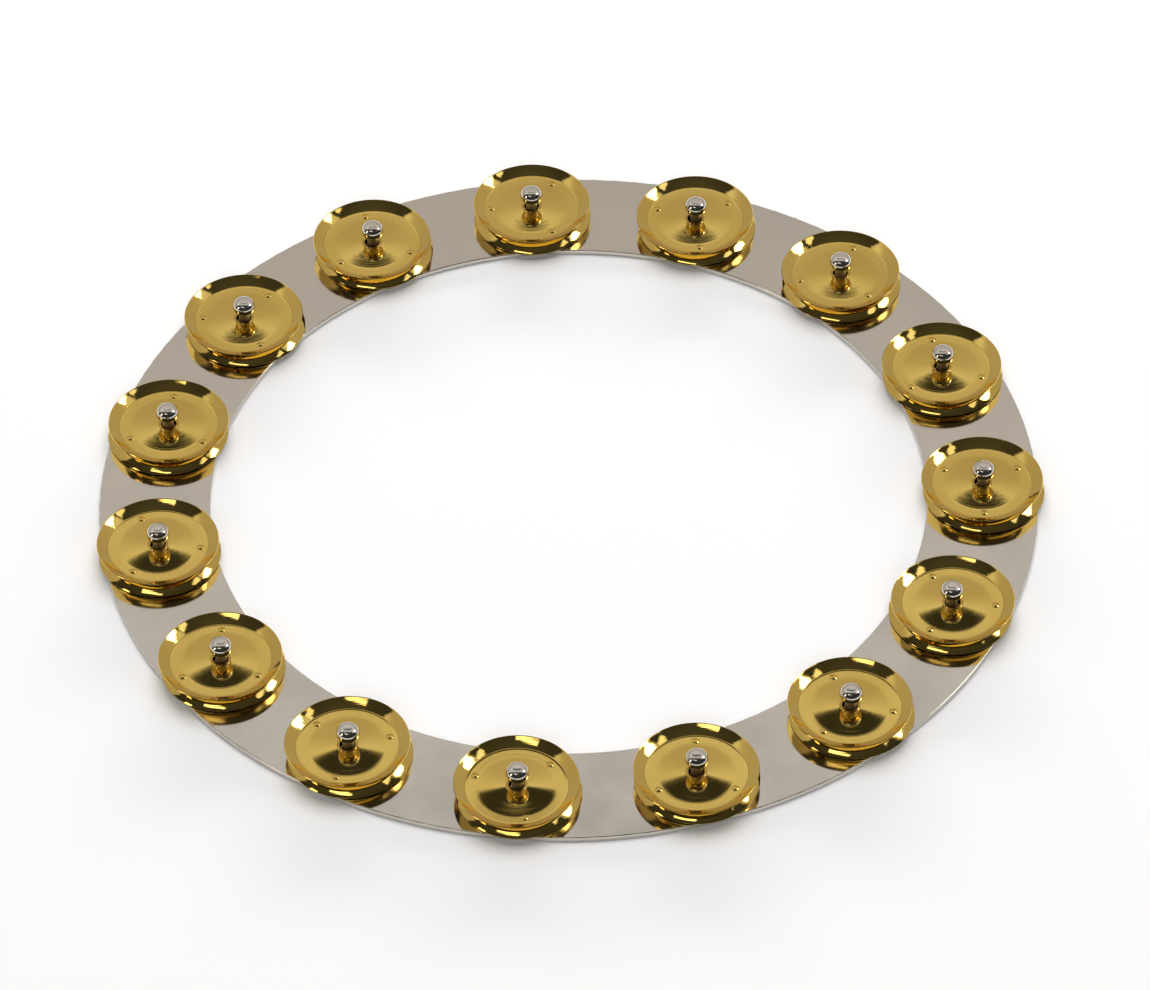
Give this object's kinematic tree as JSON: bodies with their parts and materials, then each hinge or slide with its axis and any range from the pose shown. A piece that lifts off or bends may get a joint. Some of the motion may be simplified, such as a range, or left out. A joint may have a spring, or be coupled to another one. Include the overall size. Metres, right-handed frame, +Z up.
{
  "type": "tambourine",
  "caption": "Flat polished steel ring with pairs of loose brass jingles on domed rivets around its upper face, open in the middle, to lie on a drum head.",
  "frame": {"origin": "centre of the ring's underside, the face that lies on the drum", "axes": "+Z up, out of the face that carries the jingles; the ring lies in the XY plane with one jingle station 4.5 degrees past +Y"},
  "size_m": [0.3453, 0.3455, 0.0156],
  "materials": {
    "polished_steel": "polished",
    "steel_rivets": "polished",
    "jingle_brass": "polished"
  },
  "bodies": {
    "ring": {"ring_plate": "polished_steel", "jingle_rivets": "steel_rivets"},
    "jingle_lower_01": {"jingle_lower_01": "jingle_brass"},
    "jingle_upper_01": {"jingle_upper_01": "jingle_brass"},
    "jingle_lower_02": {"jingle_lower_02": "jingle_brass"},
    "jingle_upper_02": {"jingle_upper_02": "jingle_brass"},
    "jingle_lower_03": {"jingle_lower_03": "jingle_brass"},
    "jingle_upper_03": {"jingle_upper_03": "jingle_brass"},
    "jingle_lower_04": {"jingle_lower_04": "jingle_brass"},
    "jingle_upper_04": {"jingle_upper_04": "jingle_brass"},
    "jingle_lower_05": {"jingle_lower_05": "jingle_brass"},
    "jingle_upper_05": {"jingle_upper_05": "jingle_brass"},
    "jingle_lower_06": {"jingle_lower_06": "jingle_brass"},
    "jingle_upper_06": {"jingle_upper_06": "jingle_brass"},
    "jingle_lower_07": {"jingle_lower_07": "jingle_brass"},
    "jingle_upper_07": {"jingle_upper_07": "jingle_brass"},
    "jingle_lower_08": {"jingle_lower_08": "jingle_brass"},
    "jingle_upper_08": {"jingle_upper_08": "jingle_brass"},
    "jingle_lower_09": {"jingle_lower_09": "jingle_brass"},
    "jingle_upper_09": {"jingle_upper_09": "jingle_brass"},
    "jingle_lower_10": {"jingle_lower_10": "jingle_brass"},
    "jingle_upper_10": {"jingle_upper_10": "jingle_brass"},
    "jingle_lower_11": {"jingle_lower_11": "jingle_brass"},
    "jingle_upper_11": {"jingle_upper_11": "jingle_brass"},
    "jingle_lower_12": {"jingle_lower_12": "jingle_brass"},
    "jingle_upper_12": {"jingle_upper_12": "jingle_brass"},
    "jingle_lower_13": {"jingle_lower_13": "jingle_brass"},
    "jingle_upper_13": {"jingle_upper_13": "jingle_brass"},
    "jingle_lower_14": {"jingle_lower_14": "jingle_brass"},
    "jingle_upper_14": {"jingle_upper_14": "jingle_brass"},
    "jingle_lower_15": {"jingle_lower_15": "jingle_brass"},
    "jingle_upper_15": {"jingle_upper_15": "jingle_brass"}
  },
  "joints": [
    {"name": "lower_01_slide", "type": "slide", "parent": "ring", "child": "jingle_lower_01", "axis": [0, 0, 1], "range_m": [0, 0.0022]},
    {"name": "upper_01_slide", "type": "slide", "parent": "jingle_lower_01", "child": "jingle_upper_01", "axis": [0, 0, 1], "range_m": [0, 0.0022]},
    {"name": "lower_02_slide", "type": "slide", "parent": "ring", "child": "jingle_lower_02", "axis": [0, 0, 1], "range_m": [0, 0.0022]},
    {"name": "upper_02_slide", "type": "slide", "parent": "jingle_lower_02", "child": "jingle_upper_02", "axis": [0, 0, 1], "range_m": [0, 0.0022]},
    {"name": "lower_03_slide", "type": "slide", "parent": "ring", "child": "jingle_lower_03", "axis": [0, 0, 1], "range_m": [0, 0.0022]},
    {"name": "upper_03_slide", "type": "slide", "parent": "jingle_lower_03", "child": "jingle_upper_03", "axis": [0, 0, 1], "range_m": [0, 0.0022]},
    {"name": "lower_04_slide", "type": "slide", "parent": "ring", "child": "jingle_lower_04", "axis": [0, 0, 1], "range_m": [0, 0.0022]},
    {"name": "upper_04_slide", "type": "slide", "parent": "jingle_lower_04", "child": "jingle_upper_04", "axis": [0, 0, 1], "range_m": [0, 0.0022]},
    {"name": "lower_05_slide", "type": "slide", "parent": "ring", "child": "jingle_lower_05", "axis": [0, 0, 1], "range_m": [0, 0.0022]},
    {"name": "upper_05_slide", "type": "slide", "parent": "jingle_lower_05", "child": "jingle_upper_05", "axis": [0, 0, 1], "range_m": [0, 0.0022]},
    {"name": "lower_06_slide", "type": "slide", "parent": "ring", "child": "jingle_lower_06", "axis": [0, 0, 1], "range_m": [0, 0.0022]},
    {"name": "upper_06_slide", "type": "slide", "parent": "jingle_lower_06", "child": "jingle_upper_06", "axis": [0, 0, 1], "range_m": [0, 0.0022]},
    {"name": "lower_07_slide", "type": "slide", "parent": "ring", "child": "jingle_lower_07", "axis": [0, 0, 1], "range_m": [0, 0.0022]},
    {"name": "upper_07_slide", "type": "slide", "parent": "jingle_lower_07", "child": "jingle_upper_07", "axis": [0, 0, 1], "range_m": [0, 0.0022]},
    {"name": "lower_08_slide", "type": "slide", "parent": "ring", "child": "jingle_lower_08", "axis": [0, 0, 1], "range_m": [0, 0.0022]},
    {"name": "upper_08_slide", "type": "slide", "parent": "jingle_lower_08", "child": "jingle_upper_08", "axis": [0, 0, 1], "range_m": [0, 0.0022]},
    {"name": "lower_09_slide", "type": "slide", "parent": "ring", "child": "jingle_lower_09", "axis": [0, 0, 1], "range_m": [0, 0.0022]},
    {"name": "upper_09_slide", "type": "slide", "parent": "jingle_lower_09", "child": "jingle_upper_09", "axis": [0, 0, 1], "range_m": [0, 0.0022]},
    {"name": "lower_10_slide", "type": "slide", "parent": "ring", "child": "jingle_lower_10", "axis": [0, 0, 1], "range_m": [0, 0.0022]},
    {"name": "upper_10_slide", "type": "slide", "parent": "jingle_lower_10", "child": "jingle_upper_10", "axis": [0, 0, 1], "range_m": [0, 0.0022]},
    {"name": "lower_11_slide", "type": "slide", "parent": "ring", "child": "jingle_lower_11", "axis": [0, 0, 1], "range_m": [0, 0.0022]},
    {"name": "upper_11_slide", "type": "slide", "parent": "jingle_lower_11", "child": "jingle_upper_11", "axis": [0, 0, 1], "range_m": [0, 0.0022]},
    {"name": "lower_12_slide", "type": "slide", "parent": "ring", "child": "jingle_lower_12", "axis": [0, 0, 1], "range_m": [0, 0.0022]},
    {"name": "upper_12_slide", "type": "slide", "parent": "jingle_lower_12", "child": "jingle_upper_12", "axis": [0, 0, 1], "range_m": [0, 0.0022]},
    {"name": "lower_13_slide", "type": "slide", "parent": "ring", "child": "jingle_lower_13", "axis": [0, 0, 1], "range_m": [0, 0.0022]},
    {"name": "upper_13_slide", "type": "slide", "parent": "jingle_lower_13", "child": "jingle_upper_13", "axis": [0, 0, 1], "range_m": [0, 0.0022]},
    {"name": "lower_14_slide", "type": "slide", "parent": "ring", "child": "jingle_lower_14", "axis": [0, 0, 1], "range_m": [0, 0.0022]},
    {"name": "upper_14_slide", "type": "slide", "parent": "jingle_lower_14", "child": "jingle_upper_14", "axis": [0, 0, 1], "range_m": [0, 0.0022]},
    {"name": "lower_15_slide", "type": "slide", "parent": "ring", "child": "jingle_lower_15", "axis": [0, 0, 1], "range_m": [0, 0.0022]},
    {"name": "upper_15_slide", "type": "slide", "parent": "jingle_lower_15", "child": "jingle_upper_15", "axis": [0, 0, 1], "range_m": [0, 0.0022]}
  ]
}
